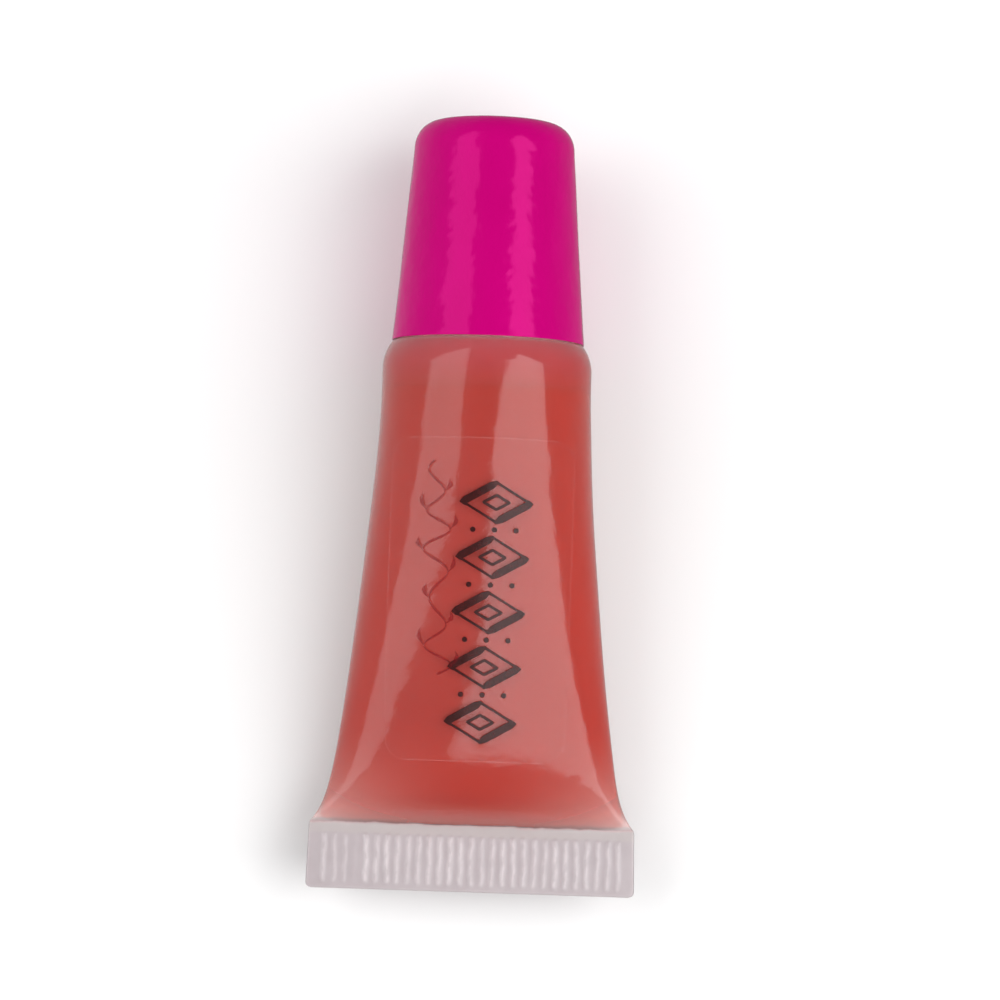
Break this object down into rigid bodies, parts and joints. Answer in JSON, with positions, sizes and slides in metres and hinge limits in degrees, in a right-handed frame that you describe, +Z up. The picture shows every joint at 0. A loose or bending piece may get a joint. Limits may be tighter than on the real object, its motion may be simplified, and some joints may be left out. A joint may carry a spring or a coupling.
{
  "type": "lip gloss tube",
  "caption": "Small clear squeeze tube full of coral gloss, with a flat ribbed crimp at its tail and a tapered magenta screw cap.",
  "frame": {"origin": "on the table under the middle of the lying tube's bounding box", "axes": "+Y along the tube towards the cap, +Z up through its printed front, X across the flat tail"},
  "size_m": [0.0298, 0.0702, 0.0191],
  "materials": {
    "clear_sleeve": "gloss",
    "head_plastic": "satin",
    "coral_gloss": "gloss",
    "clear_label": "gloss",
    "magenta_cap": "gloss",
    "magenta_core": "satin",
    "liner_foam": "matte"
  },
  "bodies": {
    "tube": {"tube_sleeve": "clear_sleeve", "tube_head": "head_plastic", "gloss_fill": "coral_gloss", "label_film": "clear_label"},
    "liner": {"cap_liner": "liner_foam"},
    "cap": {"cap_shell": "magenta_cap", "cap_core": "magenta_core"}
  },
  "joints": [
    {"name": "cap_rise", "type": "slide", "parent": "tube", "child": "liner", "axis": [0, 0.9968, 0.0802], "range_m": [0, 0.01201]},
    {"name": "cap_turn", "type": "hinge", "parent": "liner", "child": "cap", "pos_m": [0, 0.02479, 0.01066], "axis": [0, 0.9968, 0.0802], "range_deg": [0, 1440]}
  ],
  "couplings": [
    {"joint": "cap_rise", "follows": "cap_turn", "m_per_rad": 0.00047746}
  ]
}
